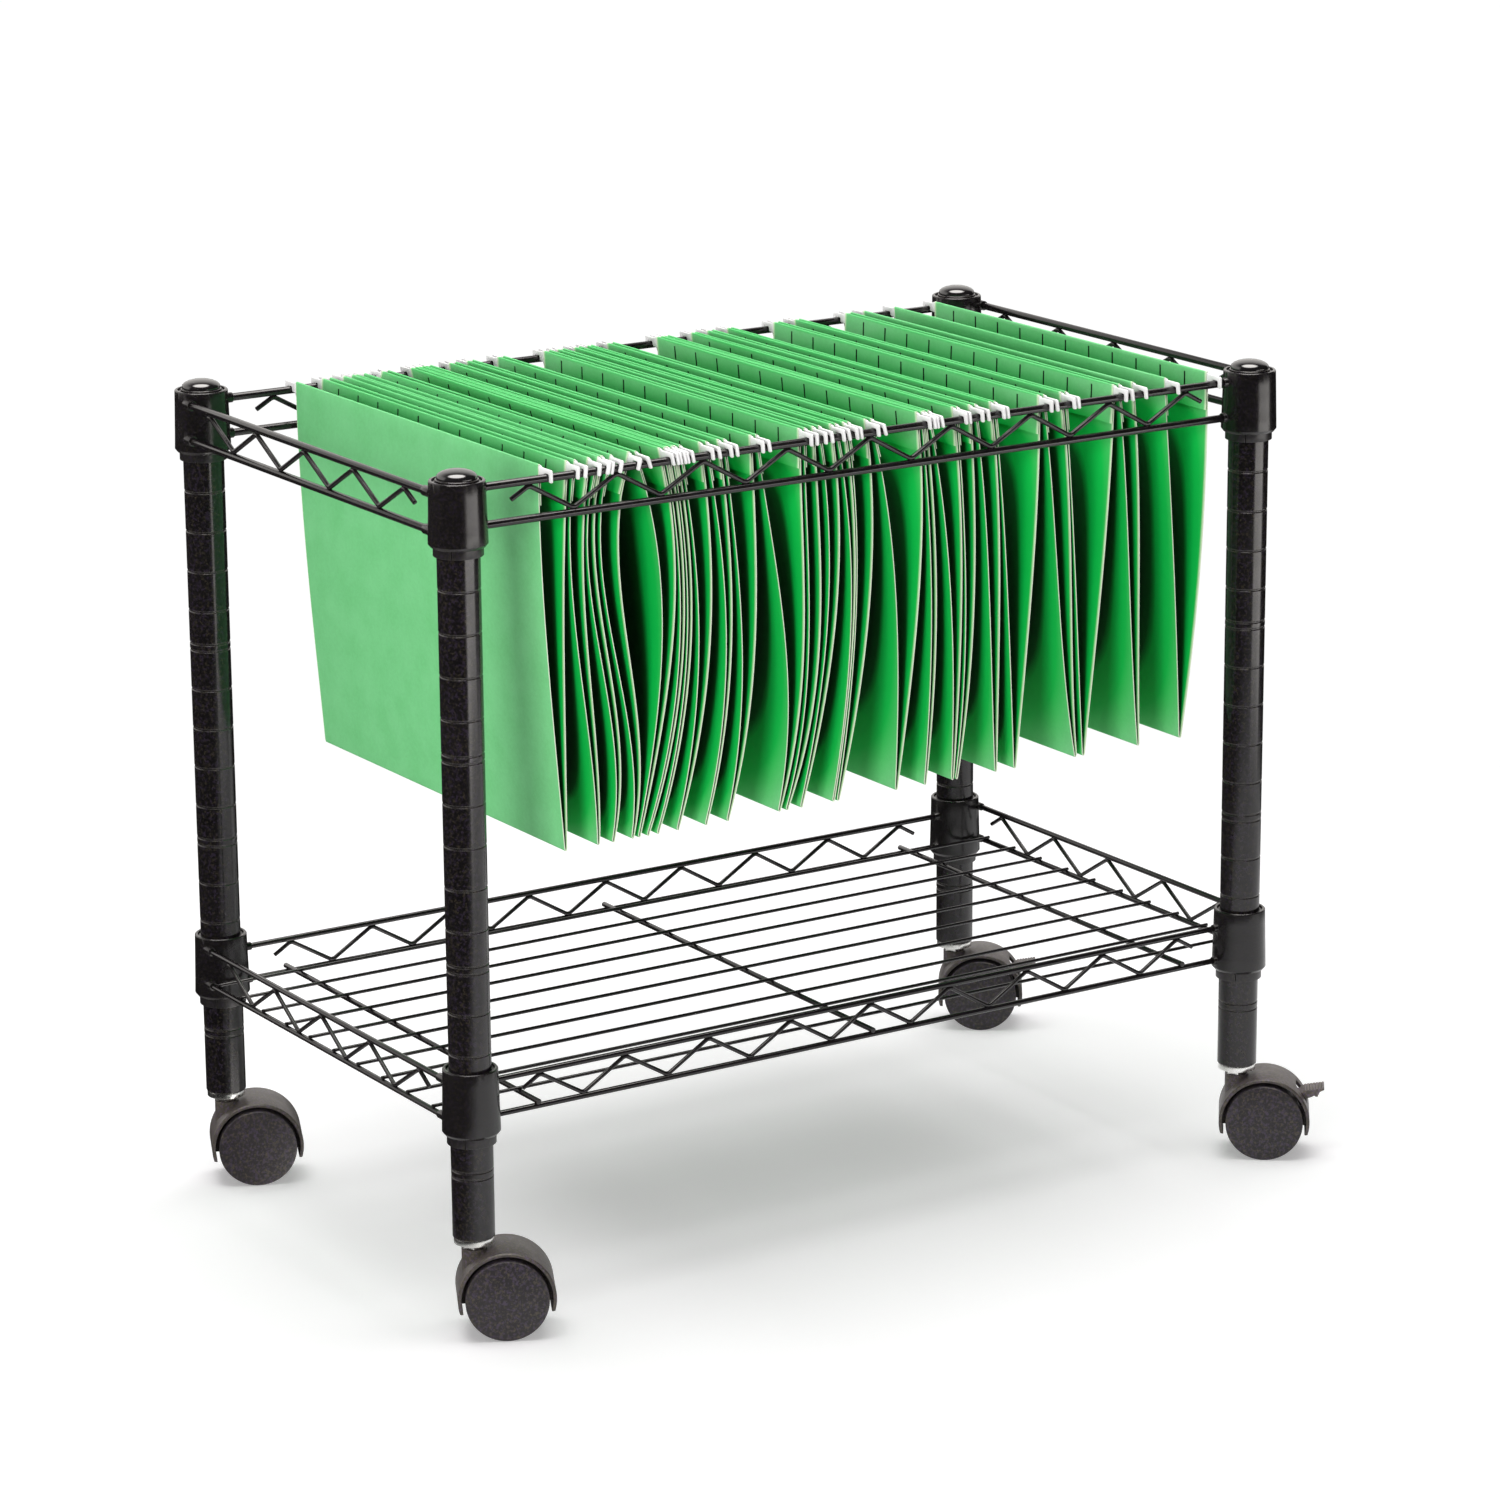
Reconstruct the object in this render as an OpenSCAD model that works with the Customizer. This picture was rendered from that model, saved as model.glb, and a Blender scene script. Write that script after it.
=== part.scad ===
// Wire file cart: four grooved posts on swivel casters, an upper frame with
// hanging folders and a lower wire shelf.
// X runs left to right along the long side, Y from front to rear and Z up from
// the floor. The origin is on the floor, midway between the posts.

/* [Posts] */
// Distance between post axes along the long side
post_w = 571; // [500:1:760]
// Distance between post axes front to rear
post_d = 320.5; // [300:0.5:360]
// Outside diameter of a post tube
post_od = 25.4; // [24:0.2:27]
// Wall of a post tube
post_wall = 1.2; // [1:0.1:2]
// Height of the lower end of a post above the floor
post_z0 = 60.5; // [58:0.5:64]
// Height of the upper end of a post above the floor
post_z1 = 519; // [500:1:900]
// Spacing of the ring grooves along a post
groove_pitch = 25.4; // [20:0.2:30]
// Height of the ring groove that the other grooves are spaced from
groove_ref = 480; // [470:0.5:490]
// Depth of a ring groove
groove_depth = 0.4; // [0.2:0.05:0.6]
// Every so many grooves there is a second one, as a height mark
groove_mark = 5; // [2:1:10]
// Distance from a marked groove up to its second groove
groove_twin = 4.4; // [3:0.1:8]
// Plain length at the foot of a post
groove_foot = 20; // [3:1:40]

/* [Collars] */
// Outside radius at the foot of a collar
collar_r0 = 17.5; // [16.8:0.1:19]
// Outside radius at the rim of a collar
collar_r1 = 16.5; // [16:0.1:18]
// Bore radius of a collar
collar_bore = 14.65; // [14.2:0.05:15]
// Foot of the upper collars above the floor
top_collar_z = 479.4; // [470:0.2:490]
// Height of the upper collars
top_collar_h = 38.9; // [30:0.1:45]
// Foot of the shelf collars above the floor
shelf_collar_z = 125; // [100:0.5:300]
// Height of the shelf collars
shelf_collar_h = 40.5; // [30:0.5:45]

/* [Upper frame wires] */
// Diameter of the rails of the upper frame
rail_d = 4.8; // [4:0.1:6]
// Height of the upper rails, which carry the folders
rail_zu = 511.2; // [505:0.1:515]
// Height of the lower rails of the upper frame
rail_zl = 488.8; // [480:0.1:495]
// Distance of the side rails inboard of the post axes
rail_in = 2.4; // [0:0.1:5]
// Distance of the end rails outboard of the post axes
rail_out = 13.3; // [10:0.1:14]
// Diameter of the zigzag wire of the upper frame
truss_d = 3; // [2:0.1:4]
// Distance of a zigzag bend from the axis of the rail it is welded to
truss_gap = 3.5; // [2:0.1:3.8]

/* [Zigzag wires] */
// Pitch of the zigzag on the long sides
truss_pitch = 59.2; // [50:0.1:70]
// Number of upper bends on a long side
truss_n = 9; // [3:1:9]
// Pitch of the zigzag on the ends
end_pitch = 61.2; // [50:0.1:64]
// Number of upper bends on an end
end_n = 5; // [3:1:5]
// Bend radius of the zigzag wire
bend_r = 4; // [3:0.5:6]
// Reach of the cut ends beyond the outermost bends
stub = 12; // [6:1:16]

/* [Lower shelf] */
// Diameter of the shelf rails
shelf_rail_d = 3.6; // [3:0.1:5]
// Height of the upper side rails of the shelf
shelf_zu = 153.8; // [150:0.1:160]
// Height of the lower side rails of the shelf
shelf_zl = 132; // [128:0.1:136]
// Height of the upper end rails of the shelf
shelf_end_zu = 158.2; // [150:0.1:162]
// Diameter of the shelf zigzag wire
shelf_truss_d = 2.6; // [2:0.1:3.4]
// Distance of a shelf zigzag bend from the axis of its rail
shelf_truss_gap = 2.7; // [2:0.1:3]
// Diameter of the cross wires under the deck
cross_d = 3.4; // [2.5:0.1:5]
// Offset of the outer cross wires from the middle
cross_off = 239.5; // [100:0.5:250]
// Diameter of a deck wire
deck_d = 2.2; // [1.6:0.1:3]
// Number of deck wires
deck_n = 10; // [4:1:10]
// Spacing of the deck wires
deck_pitch = 30.9; // [20:0.1:31]
// Reach of the deck wires beyond the post axes
deck_reach = 14.3; // [13.5:0.1:15]

/* [Casters] */
// Radius of a caster wheel
wheel_r = 25; // [22:0.1:25.4]
// Distance from the swivel axis to the wheel axle
caster_trail = 18.3; // [16:0.1:20]
// Half of the width over a pair of wheels
wheel_out = 20; // [18.5:0.5:22]
// Half of the gap between a pair of wheels
wheel_in = 8.4; // [8:0.1:10]
// Outer radius of a caster hood
hood_r = 29.4; // [28.5:0.1:31]
// Wall of a caster hood
hood_wall = 2; // [1.2:0.1:2.4]
// Half of the width of a caster hood
hood_w = 17.5; // [14:0.5:18]
// Radius of the swivel neck of a hood
neck_r = 7.6; // [6.5:0.1:8]
// Radius of a wheel axle
axle_r = 4; // [3:0.1:5]
// Radius of a caster stem
stem_r = 3.95; // [3:0.05:4.5]
// Running clearance on stems, axles and lever pins
running = 0.05; // [0.02:0.01:0.1]
// Direction the front left caster trails, clockwise from +X
psi_fl = 27; // [0:1:359]
// Direction the rear left caster trails, clockwise from +X
psi_rl = 24; // [0:1:359]
// Direction the front right caster trails, clockwise from +X
psi_fr = 38; // [0:1:359]
// Direction the rear right caster trails, clockwise from +X
psi_rr = 35; // [0:1:359]

/* [Folders] */
// Width of a folder sheet, front edge to rear edge
sheet_w = 298.5; // [280:0.5:300]
// Height of the top edge of the folders
sheet_top = 517.8; // [517:0.1:518.5]
// Height of the bottom fold of the folders
sheet_low = 282.6; // [260:0.1:300]
// Thickness of the folder card
card = 0.3; // [0.2:0.05:0.35]
// Thickness over a folded hem
hem = 1.45; // [1.4:0.05:1.5]
// Depth of the folded hem below the top edge
hem_h = 24.5; // [20:0.5:30]
// Thickness of a hanger bar
bar_t = 0.7; // [0.5:0.05:0.75]
// Height of a hanger bar
bar_h = 12; // [10:0.5:15]
// Thickness of a coated hook at the end of a bar
hook_t = 1.2; // [1:0.1:1.3]

/* [Hidden] */
$fn = 48;
post_x = post_w / 2;
post_y = post_d / 2;
post_r = post_od / 2;
post_bore_r = post_r - post_wall;

// Cross wires sink 0.2 into the lower side rails, deck wires 0.1 into the cross wires
cross_z = shelf_zl + shelf_rail_d / 2 + cross_d / 2 - 0.2;
deck_z = cross_z + cross_d / 2 + deck_d / 2 - 0.1;
shelf_end_zl = cross_z - 0.1;

// Corners of the cart: sign of X, sign of Y, caster direction, has a brake
FRONT_LEFT = [-1, -1, psi_fl, false];
FRONT_RIGHT = [1, -1, psi_fr, true];
REAR_LEFT = [-1, 1, psi_rl, false];
REAR_RIGHT = [1, 1, psi_rr, true];
CORNERS = [FRONT_LEFT, REAR_LEFT, FRONT_RIGHT, REAR_RIGHT];

// Each folder: left bar, right bar and bottom fold measured from the left
// post axis, then how far the left and the right sheet belly to the right,
// and how far both wave.
FOLDERS = [
  [61, 79.5, 74.5, -2.5, -2, -0.5],
  [85, 94.5, 97, -5, -4.5, -3],
  [101, 103.5, 107, -3.5, -1, -7],
  [109.5, 122, 120.5, -4.5, -2.5, -7],
  [126, 142.5, 125, 18, 16, 1.5],
  [146, 148, 131, 17.5, 18, -0.5],
  [151, 153, 138, 16.5, 17, -0.5],
  [156.5, 170.5, 152, 15, 15, -0.5],
  [175, 183.5, 172, 15, 13.5, -1],
  [187.5, 206, 187.5, 12, 11.5, -1.5],
  [210, 240.5, 224.5, 12, 10.5, -2.5],
  [244.5, 250.5, 230, 10.5, 14.5, -2.5],
  [254.5, 263, 240.5, 13.5, 14, 0.5],
  [266.5, 272.5, 264, 13, 11, 0.5],
  [275.5, 288, 267.5, 10.5, 12.5, 0.5],
  [292, 325.5, 310.5, 10, 8.5, 1],
  [329, 331, 332, 6.5, 8, 0],
  [334, 352, 352.5, 8.5, 6.5, 0.5],
  [355, 364.5, 355.5, 7.5, 8, -0.5],
  [368.5, 380, 385.5, 3.5, 4.5, 1],
  [383, 416.5, 400, 2.5, 3.5, 0.5],
  [420, 433, 447, -1, 1.5, 1.5],
  [436.5, 473.5, 453, 1, 2.5, 0.5],
  [477.5, 488, 496, 1, 2.5, 1],
  [513, 546, 529, 1.5, 5.5, 0]
];

FRAME_COLOR = [0.17, 0.16, 0.16];
STEEL_COLOR = "silver";
HOOD_COLOR = [0.22, 0.20, 0.19];
WHEEL_COLOR = [0.14, 0.14, 0.14];
LEVER_COLOR = [0.2, 0.2, 0.2];
CARD_COLOR = [0.30, 0.62, 0.33];

// ---- placing helpers ---------------------------------------------------

module at_corner(corner) {
  translate([corner[0] * post_x, corner[1] * post_y, 0]) children();
}

module at_posts() {
  for (corner = CORNERS) at_corner(corner) children();
}

// rod along Y, reaching half_length to both sides
module y_rod(radius, half_length) {
  rotate([90, 0, 0]) translate([0, 0, -half_length])
    cylinder(r = radius, h = 2 * half_length);
}

// outline in the XZ plane, thickened along Y by half_width to both sides
module y_plate(half_width) {
  rotate([90, 0, 0]) translate([0, 0, -half_width])
    linear_extrude(2 * half_width) children();
}

// outline in the YZ plane, thickened along X about its middle
module x_plate(thickness) {
  rotate([90, 0, 90]) translate([0, 0, -thickness / 2])
    linear_extrude(thickness) children();
}

// ---- posts -------------------------------------------------------------

insert_h = 28;
cap_rim_h = 1;
cap_dome_h = 4.6;

// heights of the ring grooves that fit on a post, from the foot up
function grooves() = [
  for (k = [-60 : 60])
    let (z = groove_ref + k * groove_pitch)
      if (z > post_z0 + groove_foot && z < post_z1 - 3)
        each (k % groove_mark == 0 ? [z, z + groove_twin] : [z])
];

function groove_points(z) = [
  [post_r, z - 0.8], [post_r - groove_depth, z - 0.35],
  [post_r - groove_depth, z + 0.35], [post_r, z + 0.8]
];

module post(corner) {
  color(FRAME_COLOR) at_corner(corner)
    rotate_extrude($fn = 64)
      polygon(concat(
        [[post_bore_r, post_z1], [post_bore_r, post_z0],
         [post_r - 0.6, post_z0], [post_r, post_z0 + 0.6]],
        [for (z = grooves()) each groove_points(z)],
        [[post_r, post_z1 - 0.4], [post_r - 0.4, post_z1]]
      ));
}

// domed caps, each with a plug inside the tube
module post_caps() {
  cap_r = post_r - 0.7;
  plug_r = post_bore_r - 0.1;
  color(FRAME_COLOR) at_posts() translate([0, 0, post_z1])
    rotate_extrude($fn = 64)
      polygon([
        [0, -9], [8, -9], [plug_r, -7.5], [plug_r, 0], [cap_r, 0], [cap_r, cap_rim_h],
        for (a = [0 : 15 : 90]) [cap_r * cos(a), cap_rim_h + cap_dome_h * sin(a)]
      ]);
}

// bushings in the post feet that take the caster stems
module stem_inserts() {
  color(STEEL_COLOR) at_posts() translate([0, 0, post_z0])
    difference() {
      cylinder(r = post_bore_r - 0.05, h = insert_h);
      translate([0, 0, -1]) cylinder(r = stem_r + 0.03, h = insert_h + 2);
    }
}

// ---- collars and split sleeves -----------------------------------------

// collar of the front left post; wire heights are above the floor
module collar(foot_z, height, boss_r, side_wires_z, end_wires_z) {
  difference() {
    union() {
      rotate_extrude($fn = 64)
        polygon([
          [collar_bore, 0], [collar_r0 - 1.6, 0], [collar_r0, 2],
          [collar_r1, height - 0.6], [collar_r1 - 0.5, height], [collar_bore, height]
        ]);
      // weld bosses: side wires leave along +X, end wires along +Y
      for (z = side_wires_z) translate([13, rail_in, z - foot_z]) rotate([0, 90, 0])
        cylinder(r = boss_r, h = 6.6);
      for (z = end_wires_z) translate([-rail_out, 6, z - foot_z]) rotate([-90, 0, 0])
        cylinder(r = boss_r, h = 7.6);
    }
    translate([0, 0, -1]) cylinder(r = collar_bore, h = height + 2, $fn = 64);
  }
}

module four_collars(foot_z, height, boss_r, side_wires_z, end_wires_z) {
  for (flip_x = [0, 1], flip_y = [0, 1])
    mirror([flip_x, 0, 0]) mirror([0, flip_y, 0]) translate([-post_x, -post_y, foot_z])
      collar(foot_z, height, boss_r, side_wires_z, end_wires_z);
}

module top_collars() {
  color(FRAME_COLOR) four_collars(top_collar_z, top_collar_h, boss_r = 3.2,
    side_wires_z = [rail_zu, rail_zl], end_wires_z = [rail_zu, rail_zl]);
}

module shelf_collars() {
  color(FRAME_COLOR) four_collars(shelf_collar_z, shelf_collar_h, boss_r = 2.6,
    side_wires_z = [shelf_zu, shelf_zl], end_wires_z = [shelf_end_zu, shelf_end_zl]);
}

// two half sleeves inside a collar, showing below it by skirt;
// the rib inside drops into a ring groove at rib_z
module sleeve_pair(collar_z, collar_h, skirt, rib_z) {
  inner_r = post_r + 0.05;
  outer_r = collar_bore - 0.08;
  rib_r = inner_r - 0.35;
  foot_z = collar_z - skirt;
  rim_z = collar_z + collar_h - 1;
  for (a = [0, 180]) rotate([0, 0, a + 46])
    rotate_extrude(angle = 178, $fn = 64)
      polygon([
        [inner_r, foot_z], [outer_r + 0.15, foot_z], [outer_r + 0.15, collar_z - 0.3],
        [outer_r, collar_z - 0.1], [outer_r, rim_z - 1], [outer_r - 0.6, rim_z],
        [inner_r, rim_z], [inner_r, rib_z + 0.6], [rib_r, rib_z + 0.25],
        [rib_r, rib_z - 0.25], [inner_r, rib_z - 0.6]
      ]);
}

module post_sleeves() {
  // the groove nearest to 20 above the foot of the shelf collar
  grooves_down = round((groove_ref - shelf_collar_z - 20) / groove_pitch);
  color(FRAME_COLOR) at_posts() {
    sleeve_pair(top_collar_z, top_collar_h, skirt = 5.1,
      rib_z = groove_ref + groove_pitch);
    sleeve_pair(shelf_collar_z, shelf_collar_h, skirt = 5.7,
      rib_z = groove_ref - grooves_down * groove_pitch);
  }
}

// ---- straight wires ----------------------------------------------------

cope_r = 15.2;         // radius cleared round each post axis
cross_overhang = 0.5;  // reach of the cross wires beyond the post axes

// cuts the ends of wires to the round of the posts
module coped() {
  difference() {
    children();
    at_posts() cylinder(r = cope_r, h = 600, $fn = 64);
  }
}

module side_wires(diameter, z) {
  coped() for (side = [-1, 1])
    translate([-post_x, side * (post_y - rail_in), z]) rotate([0, 90, 0])
      cylinder(d = diameter, h = post_w);
}

module end_wires(diameter, z) {
  coped() for (side = [-1, 1])
    translate([side * (post_x + rail_out), -post_y, z]) rotate([-90, 0, 0])
      cylinder(d = diameter, h = post_d);
}

module file_rails() {
  color(FRAME_COLOR) side_wires(rail_d, rail_zu);
}

module top_lower_rails() {
  color(FRAME_COLOR) side_wires(rail_d, rail_zl);
}

module top_end_rails() {
  color(FRAME_COLOR) for (z = [rail_zu, rail_zl]) end_wires(rail_d, z);
}

module shelf_side_rails() {
  color(FRAME_COLOR) for (z = [shelf_zu, shelf_zl]) side_wires(shelf_rail_d, z);
}

module shelf_end_rails() {
  color(FRAME_COLOR) for (z = [shelf_end_zu, shelf_end_zl]) end_wires(shelf_rail_d, z);
}

module cross_wires() {
  color(FRAME_COLOR) for (x = [-cross_off, 0, cross_off])
    translate([x, -post_y - cross_overhang, cross_z]) rotate([-90, 0, 0])
      cylinder(d = cross_d, h = post_d + 2 * cross_overhang);
}

module deck_wires() {
  color(FRAME_COLOR) for (i = [0 : deck_n - 1])
    translate([-post_x - deck_reach, (i - (deck_n - 1) / 2) * deck_pitch, deck_z])
      rotate([0, 90, 0]) cylinder(d = deck_d, h = post_w + 2 * deck_reach, $fn = 32);
}

// ---- zigzag wires ------------------------------------------------------

bite = 0.15;   // how far a leg runs into the bend at its end
swell = 0.04;  // how much thicker a bend is than a leg

// angle of a leg below horizontal, between bend centrelines drop apart in
// height and run apart sideways
function leg_angle(drop, run) =
  let (centre_drop = drop - 2 * bend_r,
       centre_distance = sqrt(centre_drop * centre_drop + run * run))
    atan2(centre_drop, run) + asin(2 * bend_r / centre_distance);

// arc about its own centre, sweep degrees to both sides of middle
module wire_bend(middle, sweep, diameter) {
  rotate([90, 0, 0]) rotate([0, 0, middle - sweep])
    rotate_extrude(angle = 2 * sweep, $fn = 48)
      translate([bend_r, 0]) circle(d = diameter + swell, $fn = 32);
}

// straight wire leaving a bend, tilted from +Z towards +X
module wire_leg(tilt, length, diameter) {
  rotate([0, tilt, 0]) translate([0, 0, -bite])
    cylinder(d = diameter, h = length + bite, $fn = 32);
}

// zigzag in the XZ plane, centred on X = 0; z_top and z_low are the
// centreline heights of the upper and lower bends
module zigzag(count, pitch, z_top, z_low, diameter) {
  run = pitch / 2;
  drop = z_top - z_low;
  slope = leg_angle(drop, run);
  // from a bend centre to the point where a leg starts
  start_x = bend_r * sin(slope);
  start_z = bend_r * cos(slope);
  upper_z = z_top - bend_r;
  lower_z = z_low + bend_r;
  leg = norm([run - 2 * start_x, drop - 2 * bend_r + 2 * start_z]);
  tail = (stub - start_x) / cos(slope);
  for (i = [0 : count - 1]) translate([(i - (count - 1) / 2) * pitch, 0, 0]) {
    translate([0, 0, upper_z]) wire_bend(90, slope, diameter);
    // leg down to the next lower bend, or the cut end on the right
    translate([start_x, 0, upper_z + start_z])
      wire_leg(90 + slope, i < count - 1 ? leg + bite : tail, diameter);
    if (i < count - 1) {
      translate([run, 0, lower_z]) wire_bend(270, slope, diameter);
      translate([run + start_x, 0, lower_z - start_z])
        wire_leg(90 - slope, leg + bite, diameter);
    }
    // cut end on the left
    if (i == 0)
      translate([-start_x, 0, upper_z + start_z]) wire_leg(-90 - slope, tail, diameter);
  }
}

// zigzags between rails at upper_z and lower_z
module side_trusses(upper_z, lower_z, gap, diameter) {
  for (side = [-1, 1]) translate([0, side * (post_y - rail_in), 0])
    zigzag(truss_n, truss_pitch, upper_z - gap, lower_z + gap, diameter);
}

module end_trusses(upper_z, lower_z, gap, diameter) {
  for (side = [-1, 1]) translate([side * (post_x + rail_out), 0, 0]) rotate([0, 0, 90])
    zigzag(end_n, end_pitch, upper_z - gap, lower_z + gap, diameter);
}

module top_side_trusses() {
  color(FRAME_COLOR) side_trusses(rail_zu, rail_zl, truss_gap, truss_d);
}

module top_end_trusses() {
  color(FRAME_COLOR) end_trusses(rail_zu, rail_zl, truss_gap, truss_d);
}

module shelf_side_trusses() {
  color(FRAME_COLOR) side_trusses(shelf_zu, shelf_zl, shelf_truss_gap, shelf_truss_d);
}

module shelf_end_trusses() {
  color(FRAME_COLOR)
    end_trusses(shelf_end_zu, shelf_end_zl, shelf_truss_gap, shelf_truss_d);
}

// ---- casters -----------------------------------------------------------

fixing_pitch = 3.5;               // height taken by the washer, and by the nut
fixing_h = fixing_pitch - 0.05;   // thickness of the washer and of the nut
washer_z = post_z0 - fixing_pitch;
nut_z = washer_z - fixing_pitch;
neck_z = nut_z - 0.2;             // top of the swivel neck
stem_depth = 18.5;                // length of stem inside the neck
stem_top_z = post_z0 + 24;

wheel_disc_t = 1.6;               // outer face of a wheel, closing its bore
axle_half = wheel_out - wheel_disc_t - 0.2;

hood_ri = hood_r - hood_wall;
shell_foot_z = -8;                // lower edge of the shell, from the wheel centre
web_foot_z = -4.5;                // lower edge of the web, from the wheel centre
axle_boss_r = 8;

// pivot of the brake lever, from the wheel centre
lever_x = 17;
lever_z = 11;
lever_pin_r = 2;
lug_y = 6.4;                      // middle of a lug
lug_half = 1.2;
lug_r = 4.6;
lug_drop = 6.6;                   // reach of a lug below the pivot
lug_root_x = 6;

// children are drawn with the wheel centre at the origin, +X trailing
module caster(corner) {
  at_corner(corner) translate([0, 0, wheel_r]) rotate([0, 0, -corner[2]])
    translate([caster_trail, 0, 0]) children();
}

module fixing_ring(outer_r, bore_r, facets) {
  difference() {
    cylinder(r = outer_r, h = fixing_h, $fn = facets);
    translate([0, 0, -1]) cylinder(r = bore_r, h = 6, $fn = 48);
  }
}

// stem, washer and hexagonal nut, as three solids
module caster_stems() {
  stem_z = neck_z - stem_depth;
  color(STEEL_COLOR) at_posts() {
    translate([0, 0, stem_z]) cylinder(r = stem_r, h = stem_top_z - stem_z, $fn = 48);
    translate([0, 0, washer_z]) fixing_ring(12.1, stem_r + 0.15, facets = 64);
    translate([0, 0, nut_z]) fixing_ring(7.3, stem_r + 0.1, facets = 6);
  }
}

// block that cuts away everything below z
module cut_below(z) {
  translate([-40, -40, z - 40]) cube([80, 80, 40]);
}

// sector in the XZ plane from angle a0 to a1, outside inner_r, for cutting the hood
module sector(a0, a1, inner_r, half_width) {
  outer_r = 34;
  difference() {
    y_plate(half_width)
      polygon([
        [0, 0],
        for (a = [a0 : (a1 - a0) / 6 : a1 + 0.01]) [outer_r * cos(a), outer_r * sin(a)]
      ]);
    y_rod(inner_r, 21, $fn = 64);
  }
}

// arched shell over both wheels
module hood_shell() {
  difference() {
    rotate([90, 0, 0]) translate([0, 0, -hood_w])
      rotate_extrude($fn = 96)
        polygon([
          [hood_ri, 0], [hood_r - 0.8, 0], [hood_r, 0.8],
          [hood_r, 2 * hood_w - 0.8], [hood_r - 0.8, 2 * hood_w], [hood_ri, 2 * hood_w]
        ]);
    cut_below(shell_foot_z);
  }
}

// web between the wheels, with room for the lever on a braked caster
module hood_web(brake) {
  difference() {
    y_rod(hood_ri + 0.6, neck_r, $fn = 96);
    cut_below(web_foot_z);
    if (brake) sector(10, 62, inner_r = 12, half_width = 20);
  }
}

// lugs that carry the lever pin
module lever_lugs() {
  for (side = [-1, 1]) translate([0, side * lug_y, 0]) {
    translate([lever_x, 0, lever_z]) y_rod(lug_r, lug_half);
    translate([lug_root_x, -lug_half, lever_z - lug_drop])
      cube([lever_x - lug_root_x, 2 * lug_half, lug_drop + lug_r]);
  }
}

module caster_hood(corner) {
  brake = corner[3];
  neck_top = neck_z - wheel_r;
  color(HOOD_COLOR) caster(corner) difference() {
    union() {
      hood_shell();
      hood_web(brake);
      y_rod(axle_boss_r, neck_r);
      // swivel neck
      translate([-caster_trail, 0, 0]) cylinder(r = neck_r, h = neck_top);
      if (brake) lever_lugs();
    }
    // stem bore, a little deeper than the stem
    translate([-caster_trail, 0, neck_top - stem_depth - 0.5])
      cylinder(r = stem_r + running, h = 30);
    // axle bore, a tight fit
    y_rod(axle_r - 0.04, 20);
    if (brake) {
      // opening in the shell for the lever
      sector(20, 46, inner_r = hood_ri - 1, half_width = 8);
      translate([lever_x, 0, lever_z]) y_rod(lever_pin_r + running, 10);
    }
  }
}

module caster_axle(corner) {
  color(STEEL_COLOR) caster(corner) y_rod(axle_r, axle_half);
}

// wheel pair; each profile runs from the outer face inward
module caster_wheels(corner) {
  width = wheel_out - wheel_in;
  bore_r = axle_r + running;
  color(WHEEL_COLOR) caster(corner)
    for (flip_y = [0, 1]) mirror([0, flip_y, 0])
      translate([0, wheel_out, 0]) rotate([90, 0, 0])
        rotate_extrude($fn = 96)
          polygon([
            [0, 0], [wheel_r - 1, 0], [wheel_r - 0.3, 0.3], [wheel_r, 1],
            [wheel_r, width - 0.8], [wheel_r - 0.8, width], [bore_r, width],
            [bore_r, wheel_disc_t], [0, wheel_disc_t]
          ]);
}

// X, Z along the underside of the pedal, from its tip back to the arm
PEDAL_UNDERSIDE = [
  [35.7, 18.3], [34.4, 15.1], [33.2, 15.0], [32.2, 15.7], [29.6, 14.4],
  [25, 13.4], [22.5, 14.6], [22.5, 16.6]
];

// pedal with stepped ribs across its sloping top
module pedal() {
  ribs = 7;
  root_x = 25.5;
  tip_x = 38.6;
  rib_pitch = (tip_x - root_x) / ribs;
  function top_z(x) = 19.2 + (x - root_x) * 0.15;
  y_plate(7)
    polygon(concat(
      [for (i = [0 : ribs - 1])
        let (x = root_x + i * rib_pitch)
          each [
            [x, top_z(x) - 0.7],
            [x + 0.35 * rib_pitch, top_z(x)],
            [x + 0.8 * rib_pitch, top_z(x)]
          ]],
      [[tip_x, top_z(tip_x) - 0.7], [tip_x, top_z(tip_x) - 1.4]],
      PEDAL_UNDERSIDE
    ));
}

// one-piece pedal, arm and pin
module brake_lever(corner) {
  arm_half = 4.8;
  color(LEVER_COLOR) caster(corner) {
    pedal();
    union() {
      y_plate(arm_half)
        polygon([
          [lever_x - 1, lever_z - 4], [lever_x - 3, lever_z + 4],
          [23, 17.2], [26, 17.2], [26, 13.8], [22, lever_z - 1]
        ]);
      translate([lever_x, 0, lever_z]) {
        y_rod(4.2, arm_half);
        y_rod(lever_pin_r, 7.5);
      }
    }
  }
}

// ---- folders -----------------------------------------------------------

hem_z = sheet_top - hem_h;
pocket_depth = 17;  // bottom of a bar pocket below the top edge
fold_half = 0.9;    // half of the thickness at the bottom fold
bar_drop = 2.8;     // top of a bar below the top edge

// A sheet is [X at the top edge, X at the fold, belly, wave].
// Sideways place of its curve at height z:
function sheet_x(sheet, z) =
  let (t = (sheet_top - z) / (sheet_top - sheet_low))
    sheet[0] * (1 - t) + sheet[1] * t + 4 * sheet[2] * t * (1 - t)
      + 10 * sheet[3] * t * (1 - t) * (1 - 2 * t);

// the same with the hem kept straight
function card_x(sheet, z) =
  z >= hem_z
    ? sheet[0] + (sheet_x(sheet, hem_z) - sheet[0]) * (sheet_top - z) / hem_h
    : sheet_x(sheet, z);

// angle of the hem from vertical
function lean(sheet) = atan2(sheet_x(sheet, hem_z) - sheet[0], hem_h);

// heights where a sheet is sampled, top to bottom; below the hem from index 3
SHEET_Z = concat([sheet_top, sheet_top - pocket_depth, hem_z],
  [for (i = [1 : 12]) hem_z - (hem_z - sheet_low) * i / 12]);

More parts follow.
